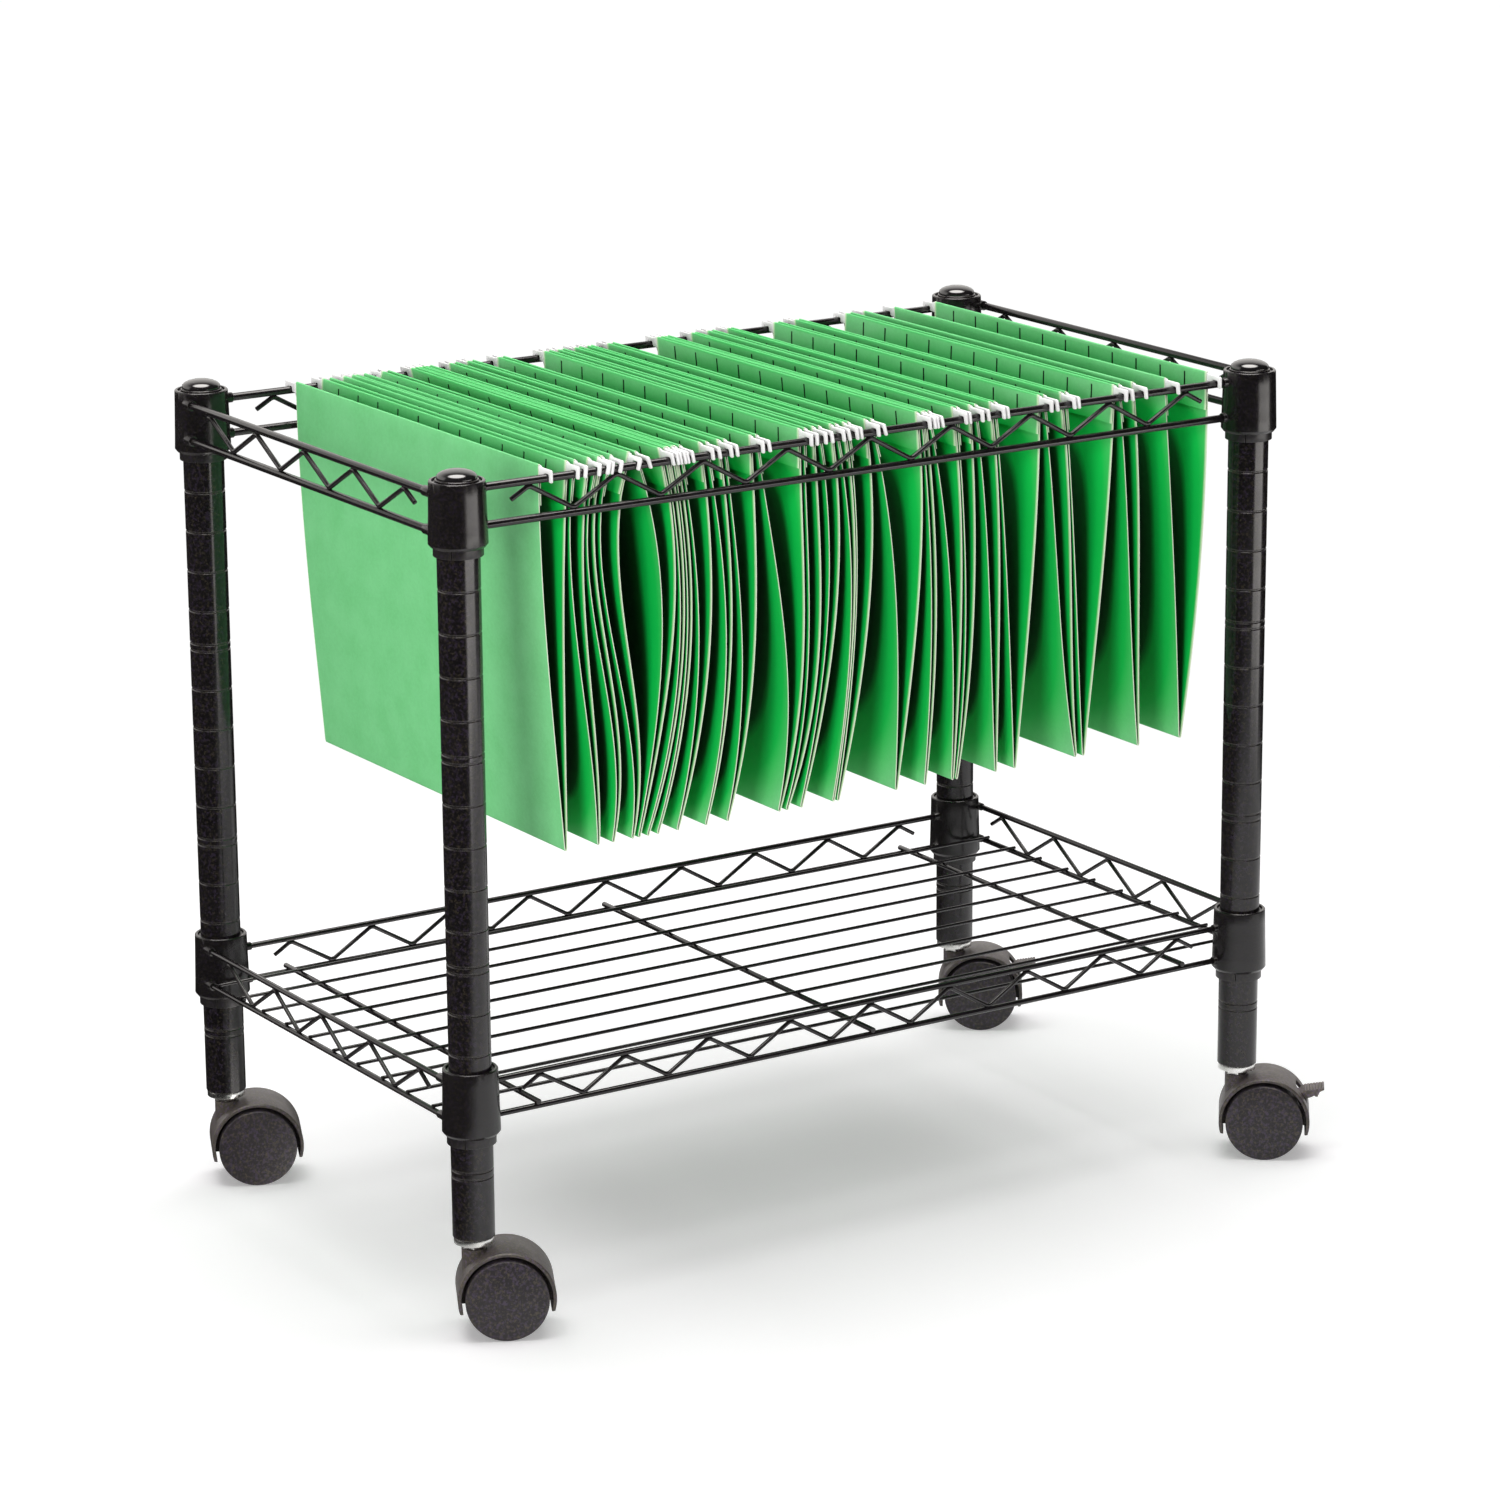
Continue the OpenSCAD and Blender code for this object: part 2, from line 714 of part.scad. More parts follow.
// corners of a bar pocket: share of the pocket width, height from the top edge
POCKET = [[0, -0.3], [0, -pocket_depth], [1, -pocket_depth], [1, -0.3]];

// hanger bar with a hook at each end, flat on the YZ plane, sheet top at z = 0
module hanger() {
  edge = sheet_w / 2;
  x_plate(bar_t)
    polygon([
      [-edge - 2, -bar_drop], [edge + 2, -bar_drop], [edge + 2, -6.4],
      [edge - 1, -bar_drop - bar_h], [1 - edge, -bar_drop - bar_h], [-edge - 2, -6.4]
    ]);
  for (flip_y = [0, 1]) mirror([0, flip_y, 0])
    x_plate(hook_t)
      polygon([
        [-edge - 0.2, -0.6], [-edge - 1.9, -0.6], [-edge - 2.2, -1.3],
        [-post_y - 2.6, -1.3], [-post_y - 3.4, -2.3], [-post_y - 3.4, -9.3],
        [-post_y - 2.9, -9.8], [-post_y - 0.9, -9.8], [-post_y - 0.35, -9.3],
        [-post_y - 0.35, -4.6], [-post_y + 0.15, -4.1], [-post_y + 5.1, -4.1],
        [-post_y + 5.4, -6.4], [-edge - 0.2, -7.2]
      ]);
}

// both sheets as one folded card, with thick hems at the top
module folded_card(left, right) {
  last = len(SHEET_Z) - 1;
  function left_x(z) = card_x(left, z);
  function right_x(z) = card_x(right, z);
  // the inside of the fold lies one card thickness up
  function inner_z(i) = SHEET_Z[i] + (i == last ? card : 0);
  difference() {
    y_plate(sheet_w / 2)
      polygon(concat(
        [for (i = [0 : last]) [left_x(SHEET_Z[i]), SHEET_Z[i]]],
        [for (i = [last : -1 : 0]) [right_x(SHEET_Z[i]), SHEET_Z[i]]],
        [[right_x(sheet_top) - hem, sheet_top], [right_x(hem_z) - hem, hem_z],
         [right_x(hem_z) - card, hem_z]],
        [for (i = [3 : last]) [right_x(SHEET_Z[i]) - card, inner_z(i)]],
        [for (i = [last : -1 : 3]) [left_x(SHEET_Z[i]) + card, inner_z(i)]],
        [[left_x(hem_z) + card, hem_z], [left_x(hem_z) + hem, hem_z],
         [left_x(sheet_top) + hem, sheet_top]]
      ));
    // pockets for the bars, open at the front and rear edges;
    // each hem is given by its sheet and the offset of its left face
    for (side = [[left, 0], [right, -hem]])
      y_plate(sheet_w)
        polygon([
          for (p = POCKET)
            let (z = sheet_top + p[1])
              [card_x(side[0], z) + side[1] + card + p[0] * (hem - 2 * card), z]
        ]);
  }
}

// folder by its number, counted from 1 at the left
module folder(number) {
  row = FOLDERS[number - 1];
  left_bar = row[0] - post_x;
  right_bar = row[1] - post_x;
  fold = row[2] - post_x;
  // outer faces of the two sheets
  left = [left_bar - hem / 2, fold - fold_half, row[3], row[5]];
  right = [right_bar + hem / 2, fold + fold_half, row[4], row[5]];
  color(CARD_COLOR) {
    folded_card(left, right);
    translate([left_bar, 0, sheet_top]) rotate([0, -lean(left), 0]) hanger();
    translate([right_bar, 0, sheet_top]) rotate([0, -lean(right), 0]) hanger();
  }
}

// ---- nodes -------------------------------------------------------------

post(FRONT_LEFT);  // post_front_left
post(FRONT_RIGHT);  // post_front_right
post(REAR_LEFT);  // post_rear_left
post(REAR_RIGHT);  // post_rear_right
post_caps();
stem_inserts();
post_sleeves();
top_collars();
shelf_collars();
file_rails();
top_lower_rails();
top_end_rails();
top_side_trusses();
top_end_trusses();
shelf_side_rails();
shelf_end_rails();
shelf_side_trusses();
shelf_end_trusses();
cross_wires();
deck_wires();
caster_stems();
caster_hood(FRONT_LEFT);  // caster_hood_front_left
caster_hood(FRONT_RIGHT);  // caster_hood_front_right
caster_hood(REAR_LEFT);  // caster_hood_rear_left
caster_hood(REAR_RIGHT);  // caster_hood_rear_right
caster_axle(FRONT_LEFT);  // caster_axle_front_left
caster_axle(FRONT_RIGHT);  // caster_axle_front_right
caster_axle(REAR_LEFT);  // caster_axle_rear_left
caster_axle(REAR_RIGHT);  // caster_axle_rear_right
caster_wheels(FRONT_LEFT);  // caster_wheels_front_left
caster_wheels(FRONT_RIGHT);  // caster_wheels_front_right
caster_wheels(REAR_LEFT);  // caster_wheels_rear_left
caster_wheels(REAR_RIGHT);  // caster_wheels_rear_right
brake_lever(FRONT_RIGHT);  // brake_lever_front_right
brake_lever(REAR_RIGHT);  // brake_lever_rear_right
folder(1);  // folder_01
folder(2);  // folder_02
folder(3);  // folder_03
folder(4);  // folder_04
folder(5);  // folder_05
folder(6);  // folder_06
folder(7);  // folder_07
folder(8);  // folder_08
folder(9);  // folder_09
folder(10);  // folder_10
folder(11);  // folder_11
folder(12);  // folder_12
folder(13);  // folder_13
folder(14);  // folder_14
folder(15);  // folder_15
folder(16);  // folder_16
folder(17);  // folder_17
folder(18);  // folder_18
folder(19);  // folder_19
folder(20);  // folder_20
folder(21);  // folder_21
folder(22);  // folder_22
folder(23);  // folder_23
folder(24);  // folder_24
folder(25);  // folder_25
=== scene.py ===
# A wheeled rack holding a row of 25 green card hanging folders, on a pale studio floor.
# The folders are spread along X, their hanger bars run along Y, and Z is up from the floor.
# Front is -Y and left is -X. The camera and a box light stand at the front left.
# Folder and camera lengths are in mm and are scaled by MM; all other lengths are in metres.
import math
import random

import bmesh
import bpy
from mathutils import Matrix, Vector


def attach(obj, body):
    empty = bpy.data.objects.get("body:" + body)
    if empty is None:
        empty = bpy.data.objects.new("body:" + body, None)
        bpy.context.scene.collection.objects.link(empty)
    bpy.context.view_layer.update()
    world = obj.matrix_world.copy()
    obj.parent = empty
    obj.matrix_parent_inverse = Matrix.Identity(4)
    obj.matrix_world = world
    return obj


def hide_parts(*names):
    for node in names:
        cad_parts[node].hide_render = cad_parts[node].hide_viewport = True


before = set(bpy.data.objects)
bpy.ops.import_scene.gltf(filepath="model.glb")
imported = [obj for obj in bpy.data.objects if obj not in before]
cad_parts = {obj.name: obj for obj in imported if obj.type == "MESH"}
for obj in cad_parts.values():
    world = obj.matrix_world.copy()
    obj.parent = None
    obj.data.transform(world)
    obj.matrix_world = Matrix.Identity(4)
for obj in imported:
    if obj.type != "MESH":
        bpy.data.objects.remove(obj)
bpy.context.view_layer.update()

MM = 0.001
HALF_WIDTH, HALF_DEPTH = 285.5, 160.25  # of the rack
HALF_SHEET = 298.5 / 2                  # half a card's length along Y


# ------------------------------------------------------------------ shader helpers

def feed(tree, socket, value):
    """Link a socket to an input or set its value; None leaves the input alone."""
    if isinstance(value, bpy.types.NodeSocket):
        tree.links.new(value, socket)
    elif value is not None:
        socket.default_value = (*value, 1) if socket.type == "RGBA" else value


def node(tree, kind, inputs, output=0, **settings):
    """Add a shader node and return one of its outputs."""
    made = tree.nodes.new("ShaderNode" + kind)
    for key, value in settings.items():
        setattr(made, key, value)
    for key, value in inputs.items():
        feed(tree, made.inputs[key], value)
    return made.outputs[output]


def finish(tree, kind, shader):
    tree.links.new(shader, tree.nodes.new("ShaderNodeOutput" + kind).inputs[0])


def new_material(name):
    material = bpy.data.materials.new(name)
    material.use_nodes = True
    material.node_tree.nodes.clear()
    return material, material.node_tree


def object_coords(tree, scale=(1, 1, 1)):
    position = node(tree, "TexCoord", {}, "Object")
    return node(tree, "Mapping", {0: position, "Scale": scale})


def separate(tree, vector):
    made = tree.nodes.new("ShaderNodeSeparateXYZ")
    tree.links.new(vector, made.inputs[0])
    return made.outputs


def noise(tree, vector, scale, detail=3.0, rough=0.5):
    inputs = {"Scale": scale, "Detail": detail, "Roughness": rough, "Vector": vector}
    return node(tree, "TexNoise", inputs, "Fac")


def ramp(tree, factor, stops):
    made = tree.nodes.new("ShaderNodeValToRGB")
    elements = made.color_ramp.elements
    for element, (place, colour) in zip(elements, (stops[0], stops[-1])):
        element.position = place
        element.color = (*colour, 1)
    for place, colour in stops[1:-1]:
        elements.new(place).color = (*colour, 1)
    tree.links.new(factor, made.inputs[0])
    return made.outputs[0]


def remap(tree, value, to, span=(0.3, 0.7)):
    """Take the range span to the range to, clamped."""
    return node(tree, "MapRange", {
        "Value": value, "From Min": span[0], "From Max": span[1],
        "To Min": to[0], "To Max": to[1]})


def bump(tree, height, strength, distance, normal=None):
    return node(tree, "Bump", {
        "Strength": strength, "Distance": distance, "Height": height, "Normal": normal})


def blend(tree, factor, first, second):
    return node(tree, "Mix", {0: factor, 6: first, 7: second}, 2, data_type="RGBA")


def blend_shaders(tree, factor, first, second):
    return node(tree, "MixShader", {0: factor, 1: first, 2: second})


def calc(tree, operation, first, second=None):
    return node(tree, "Math", {0: first, 1: second}, operation=operation)


def vector_calc(tree, operation, first, second=None, output=0):
    return node(tree, "VectorMath", {0: first, 1: second}, output, operation=operation)


def edge_wear_and_highlight(tree, amount):
    """The given amount on sharp edges, 0 on flat faces."""
    normal = node(tree, "NewGeometry", {}, "Normal")
    rounded = node(tree, "Bevel", {"Radius": 0.0006}, samples=4)
    match = vector_calc(tree, "DOT_PRODUCT", normal, rounded, "Value")
    return remap(tree, match, to=(amount, 0.0), span=(0.80, 0.99))


# ------------------------------------------------------------------ rack materials

def coat(name, dark, light, rough, peel, specular=0.5, wear_and_highlight=(0.09, 0.085, 0.08),
         fleck=1.0, fleck_size=1.0, pale_edge=0.45):
    """Coat or plastic with warm and cool fleck, fine peel and pale edges: worn edges, and on
    the posts a painted highlight along the grooves and edges.
    """
    material, tree = new_material(name)
    place = object_coords(tree)
    patches = noise(tree, place, scale=14, detail=4, rough=0.6)
    colour = blend(tree, remap(tree, patches, to=(0.0, 1.0)), dark, light)
    glow = sum(light) / 3
    gain = 1.0 + 0.6 * fleck
    flecks = (
        # coordinate scale, noise scale, colour against the coat's mean
        ((1, 1, 1), 640, (1.45, 1.2, 0.85)),
        ((1.07, 0.94, 1.0), 560, (1.15, 0.85, 1.45)),
    )
    for stretch, scale, tint in flecks:
        spots = noise(tree, object_coords(tree, stretch) if stretch != (1, 1, 1) else place,
                      scale=scale / fleck_size, detail=2, rough=0.6)
        spots = remap(tree, spots, to=(0.0, min(1.0, 0.75 * fleck)), span=(0.50, 0.68))
        colour = blend(tree, spots, colour, tuple(glow * part * gain for part in tint))
    rough_noise = noise(tree, place, scale=60, detail=3, rough=0.6)
    fine = noise(tree, place, scale=900, detail=2)
    shader = node(tree, "BsdfPrincipled", {
        "Base Color": blend(tree, edge_wear_and_highlight(tree, pale_edge), colour, wear_and_highlight),
        "Roughness": remap(tree, rough_noise, to=rough),
        "Specular IOR Level": specular,
        "Normal": bump(tree, fine, strength=peel, distance=0.00006)})
    finish(tree, "Material", shader)
    return material


def plated(name, dark, light, rough, metallic=1.0, stretch=(1, 1, 1), patch_scale=120,
           patch_detail=4, rough_scale=300, grain_scale=700, grain=0.25):
    """Lightly mottled smooth surface, metal unless told otherwise."""
    material, tree = new_material(name)
    place = object_coords(tree, stretch)
    patches = noise(tree, place, scale=patch_scale, detail=patch_detail, rough=0.6)
    rough_noise = noise(tree, place, scale=rough_scale, detail=3, rough=0.6)
    fine = noise(tree, place, scale=grain_scale, detail=2)
    shader = node(tree, "BsdfPrincipled", {
        "Base Color": blend(tree, remap(tree, patches, to=(0.0, 1.0)), dark, light),
        "Metallic": metallic,
        "Roughness": remap(tree, rough_noise, to=rough),
        "Normal": bump(tree, fine, strength=grain, distance=0.00004)})
    finish(tree, "Material", shader)
    return material


COAT = coat(
    "powder_coat_black", dark=(0.0028, 0.0024, 0.0026), light=(0.0068, 0.0059, 0.0062),
    rough=(0.15, 0.23), peel=0.3)
# painted highlight: the posts' groove edges are paled strongly as light lines
POST = coat(
    "powder_coat_post", dark=(0.0026, 0.0022, 0.0025), light=(0.0066, 0.0057, 0.0060),
    rough=(0.15, 0.23), peel=0.3, wear_and_highlight=(0.30, 0.28, 0.25), fleck=2.2, fleck_size=1.25,
    pale_edge=1.0)
CAST = coat(
    "cast_collar_black", dark=(0.0028, 0.0024, 0.0026), light=(0.0068, 0.0059, 0.0060),
    rough=(0.18, 0.28), peel=0.5)
PLASTIC = coat(
    "moulded_plastic_black", dark=(0.006, 0.0055, 0.006), light=(0.011, 0.0100, 0.0102),
    rough=(0.28, 0.40), peel=0.3)
CAP = coat(
    "cap_plastic_black", dark=(0.006, 0.0055, 0.006), light=(0.010, 0.0092, 0.0095),
    rough=(0.08, 0.14), peel=0.10, specular=1.0, fleck=0.3)
HOOD = coat(
    "hood_plastic_grey_brown", dark=(0.032, 0.0275, 0.0225), light=(0.052, 0.0455, 0.038),
    rough=(0.38, 0.50), peel=0.35, wear_and_highlight=(0.16, 0.15, 0.135))
WHEEL = coat(
    "wheel_plastic_charcoal", dark=(0.0100, 0.0085, 0.0100), light=(0.020, 0.0175, 0.019),
    rough=(0.44, 0.56), peel=0.9, wear_and_highlight=(0.30, 0.29, 0.28), fleck=1.8, fleck_size=1.2)
LEVER = coat(
    "lever_plastic_grey", dark=(0.050, 0.044, 0.039), light=(0.078, 0.069, 0.061),
    rough=(0.40, 0.52), peel=0.4, wear_and_highlight=(0.2, 0.19, 0.17))
ZINC = plated(
    "zinc_plate_bright", dark=(0.72, 0.71, 0.68), light=(0.86, 0.86, 0.85),
    rough=(0.18, 0.32))
STEEL = plated(
    "steel_bar_dark", dark=(0.030, 0.030, 0.029), light=(0.050, 0.050, 0.048),
    rough=(0.35, 0.5), stretch=(1, 0.15, 1))


# ------------------------------------------------------------------ folder materials

def openness(tree, y):
    """How open a card's face is to the room, from the stored gap to the sheet facing it,
    the stored share above and below, and the depth in from the front or rear edge."""
    gap = node(tree, "Attribute", {}, "Fac", attribute_name="gap")
    updown = node(tree, "Attribute", {}, "Fac", attribute_name="updown")
    inset = calc(tree, "SUBTRACT", HALF_SHEET * MM, calc(tree, "ABSOLUTE", y))
    inset = calc(tree, "MAXIMUM", inset, 0.0)
    squares = calc(tree, "ADD", calc(tree, "MULTIPLY", inset, inset),
                   calc(tree, "MULTIPLY", gap, gap))
    share = calc(tree, "DIVIDE", inset, calc(tree, "SQRT", squares))
    side = calc(tree, "MULTIPLY", calc(tree, "SUBTRACT", 1.0, share), 0.5)
    return calc(tree, "MINIMUM", calc(tree, "ADD", side, updown), 1.0)


def shade(colour, gain, lift=0.0):
    return tuple(min(1, part * gain + lift) for part in colour)


def paint_gap_shade_and_edge_light(tree, place, colour, deep, border):
    """Paint shade where sheets crowd together, keep a richer green just inside a gap, paint the
    heads above the rails lighter as painted light, and paint a pale highlight along the front
    and rear edges over the border width."""
    xyz = separate(tree, place)
    opened = openness(tree, xyz["Y"])
    # painted shade: the saturated green darkens to near black where the facing sheet is close
    # and the point lies deep in the gap
    painted_gap_shade = ramp(tree, opened, [
        (0.13, shade(deep, 0.085, 0.0030)),
        (0.185, shade(deep, 0.20, 0.0025)),
        (0.235, deep),
        (0.60, shade(deep, 1.08, 0.010))])
    # painted light: the heads above the rails count as more open, the sheets below as less
    painted_top_light = remap(tree, xyz["Z"], to=(-0.08, 0.24), span=(0.488, 0.512))
    lit = calc(tree, "ADD", opened, painted_top_light)
    # painted sheen: open faces take the pale green of base and light, crowded ones the painted
    # shade
    colour = blend(tree, remap(tree, lit, to=(0.0, 1.0), span=(0.34, 0.82)), painted_gap_shade, colour)
    # painted highlight: a pale band along the front and rear edges, over the border width
    edge = HALF_SHEET * MM
    pale_edge = remap(tree, calc(tree, "ABSOLUTE", xyz["Y"]), to=(0.0, 0.85),
                 span=(edge - border, edge - 0.1 * border))
    return blend(tree, pale_edge, colour, (0.88, 0.98, 0.72))


def card(name, base, light, translucency=0.0, deep=None, border=0.0):
    """Dyed card with mottling and faint fibres. With a deep colour it also gets painted shade
    where sheets crowd together, a painted pale sheen where it is open, painted light on its
    head and a painted highlight along its front and rear border."""
    material, tree = new_material(name)
    place = object_coords(tree)
    mottled = remap(tree, noise(tree, place, scale=55, detail=5, rough=0.65),
                    to=(0.0, 1.0), span=(0.35, 0.65))
    grain = remap(tree, noise(tree, place, scale=420, detail=3, rough=0.7),
                  to=(0.0, 1.0), span=(0.36, 0.64))
    fibre_place = object_coords(tree, (1, 1, 3.0))
    fibre = remap(tree, noise(tree, fibre_place, scale=900, detail=3, rough=0.6),
                  to=(0.0, 1.0), span=(0.35, 0.65))
    colour = blend(tree, mottled, base, light)
    colour = blend(tree, remap(tree, grain, to=(0.0, 0.22), span=(0.0, 1.0)),
                   colour, shade(light, 1.22))
    colour = blend(tree, remap(tree, fibre, to=(0.0, 0.14), span=(0.0, 1.0)),
                   colour, shade(base, 0.8))
    if deep:
        colour = paint_gap_shade_and_edge_light(tree, place, colour, deep, border)
    normal = bump(tree, noise(tree, place, scale=1600, detail=3, rough=0.6),
                  strength=0.28, distance=0.00005)
    normal = bump(tree, noise(tree, place, scale=9, detail=2),
                  strength=0.5, distance=0.0006, normal=normal)
    shader = node(tree, "BsdfPrincipled", {
        "Base Color": colour,
        "Roughness": remap(tree, mottled, to=(0.55, 0.68), span=(0, 1)),
        "Specular IOR Level": 0.30,
        "Normal": normal})
    through = node(tree, "BsdfTranslucent", {"Color": colour})
    finish(tree, "Material", blend_shaders(tree, translucency, shader, through))
    return material


# base and light are the pale green of open faces, the dye with a painted sheen; deep is the
# saturated dye that the painted shade of the gaps darkens
GREEN = dict(base=(0.160, 0.580, 0.218), light=(0.192, 0.620, 0.256),
             deep=(0.0015, 0.49, 0.070), translucency=0.06)
# the right sheets get a wider painted highlight along their front and rear edges
CARD_LEFT = card("card_green", border=0.0007, **GREEN)
CARD_RIGHT = card("card_green_right", border=0.0024, **GREEN)
CUT_EDGE = card("card_cut_edge", base=(0.84, 0.95, 0.72), light=(0.92, 0.98, 0.82))
# painted shade: the slits' walls are near black, standing in for the shade inside the slits
SLIT_SHADE = card("card_slit_edge", base=(0.012, 0.040, 0.014), light=(0.016, 0.055, 0.018))
HOOK_COAT = plated(
    "hook_coating_white", dark=(0.80, 0.80, 0.79), light=(0.90, 0.90, 0.90),
    rough=(0.30, 0.45), metallic=0.0, patch_scale=90, patch_detail=3, rough_scale=200,
    grain_scale=800, grain=0.3)


# ------------------------------------------------------------------ object helpers

def add_object(name, data):
    made = bpy.data.objects.new(name, data)
    bpy.context.scene.collection.objects.link(made)
    return made


def new_mesh(name, verts, faces):
    mesh = bpy.data.meshes.new(name)
    mesh.from_pydata(verts, [], faces)
    return mesh


def bevel_edges(piece, width, angle):
    bevel = piece.modifiers.new("bevel", "BEVEL")
    bevel.width = width
    bevel.segments = 2
    bevel.limit_method = "ANGLE"
    bevel.angle_limit = math.radians(angle)


def split_edges(piece, angle):
    piece.modifiers.new("split", "EDGE_SPLIT").split_angle = math.radians(angle)


# ------------------------------------------------------------------ CAD pieces

def piece_finish(name):
    """Material and bevel width of a CAD piece."""
    if name == "post_caps":
        return CAP, 0.0003
    if name.startswith("post_sleeves"):
        return PLASTIC, 0.0002
    if name.startswith("post_"):
        return POST, 0.00012
    if "collars" in name:
        return CAST, 0.0003
    if name in ("stem_inserts", "caster_stems") or "axle" in name:
        return ZINC, 0.0002
    if "hood" in name:
        return HOOD, 0.0004
    if "wheels" in name:
        return WHEEL, 0.0002
    if "lever" in name:
        return LEVER, 0.0002
    return COAT, 0.00025


def finish_piece(name, piece):
    material, width = piece_finish(name)
    mesh = piece.data
    mesh.materials.clear()
    mesh.materials.append(material)
    # imported normals would override the ones made after the bevel
    if "custom_normal" in mesh.attributes:
        mesh.attributes.remove(mesh.attributes["custom_normal"])
    mesh.polygons.foreach_set("use_smooth", [True] * len(mesh.polygons))
    mesh.update()
    piece.modifiers.new("weld", "WELD").merge_threshold = 2e-6
    bevel_edges(piece, width, angle=38)
    split_edges(piece, angle=34)
    if material is POST:
        weighted = piece.modifiers.new("weighted", "WEIGHTED_NORMAL")
        weighted.mode = "FACE_AREA"
        weighted.weight = 50
        weighted.keep_sharp = True


for piece_name, cad_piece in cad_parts.items():
    if not piece_name.startswith("folder_"):
        finish_piece(piece_name, cad_piece)


# ------------------------------------------------------------------ folder shape (mm)

TOP, LOW = 517.8, 282.6            # heights of a folder's top and lower fold
CARD = 0.34                        # card thickness
HEM, HEM_DEPTH = 1.45, 24.5        # hem folded over each bar: thickness, depth from TOP
HEM_SEGMENTS = 6
FOLD_HALF, FOLD_HEIGHT = 0.9, 2.0  # rounded lower fold
FOLD_SEGMENTS = 8
SLIT_TOP, SLIT_LOW = 3.0, 12.0     # depths of the slits' ends
SLIT_WIDTH, SLIT_PITCH, SLIT_COUNT = 1.5, 25.4, 11
FLARE_START, FLARE = 14, 0.35      # right flap's curl away from its sheet: depth, amount
# depths of the points up a flap and down the head of a sheet
FLAP_DEPTHS = (HEM_DEPTH, 22, 18, FLARE_START, SLIT_LOW, 9.5, 6.5, SLIT_TOP, 2.2)
HEAD_DEPTHS = (4, 9, 16, 22, 26)
SHEET_STEPS = 26                   # points below the head
OPEN_GAP, LEAST_GAP = 1000.0, 0.5  # gap beyond the end folders, and the least gap

# x of the left bar, right bar and lower fold from the rack's left side,
# belly of the left sheet, belly of the right sheet, S-shaped wave of both
FOLDERS = [
    (61, 79.5, 74.5, -2.5, -2, -0.5), (85, 94.5, 97, -5, -4.5, -3),
    (101, 103.5, 107, -3.5, -1, -7), (109.5, 122, 120.5, -4.5, -2.5, -7),
    (126, 142.5, 125, 18, 16, 1.5), (146, 148, 131, 17.5, 18, -0.5),
    (151, 153, 138, 16.5, 17, -0.5), (156.5, 170.5, 152, 15, 15, -0.5),
    (175, 183.5, 172, 15, 13.5, -1), (187.5, 206, 187.5, 12, 11.5, -1.5),
    (210, 240.5, 224.5, 12, 10.5, -2.5), (244.5, 250.5, 230, 10.5, 14.5, -2.5),
    (254.5, 263, 240.5, 13.5, 14, 0.5), (266.5, 272.5, 264, 13, 11, 0.5),
    (275.5, 288, 267.5, 10.5, 12.5, 0.5), (292, 325.5, 310.5, 10, 8.5, 1),
    (329, 331, 332, 6.5, 8, 0), (334, 352, 352.5, 8.5, 6.5, 0.5),
    (355, 364.5, 355.5, 7.5, 8, -0.5), (368.5, 380, 385.5, 3.5, 4.5, 1),
    (383, 416.5, 400, 2.5, 3.5, 0.5), (420, 433, 447, -1, 1.5, 1.5),
    (436.5, 473.5, 453, 1, 2.5, 0.5), (477.5, 488, 496, 1, 2.5, 1),
    (513, 546, 529, 1.5, 5.5, 0),
]


def sheets(folder):
    """Left and right sheet, each as (top x, low x, belly, wave) of its outer face."""
    left, right, fold, left_belly, right_belly, wave = folder
    fold -= HALF_WIDTH
    return ((left - HALF_WIDTH - HEM / 2, fold - FOLD_HALF, left_belly, wave),
            (right - HALF_WIDTH + HEM / 2, fold + FOLD_HALF, right_belly, wave))


def fallen(z):
    """0 at the top of a sheet, 1 at its lower fold."""
    return (TOP - z) / (TOP - LOW)


def curve_x(sheet, z):
    top, low, belly, wave = sheet
    t = fallen(z)
    return (top * (1 - t) + low * t + 4 * belly * t * (1 - t)
            + 10 * wave * t * (1 - t) * (1 - 2 * t))


def sheet_x(sheet, z):
    """The sheet's curve, with the hem kept straight."""
    if z >= TOP - HEM_DEPTH:
        top = sheet[0]
        return top + (curve_x(sheet, TOP - HEM_DEPTH) - top) * (TOP - z) / HEM_DEPTH
    return curve_x(sheet, z)


def hem_lean(sheet):
    return math.atan2(curve_x(sheet, TOP - HEM_DEPTH) - sheet[0], HEM_DEPTH)


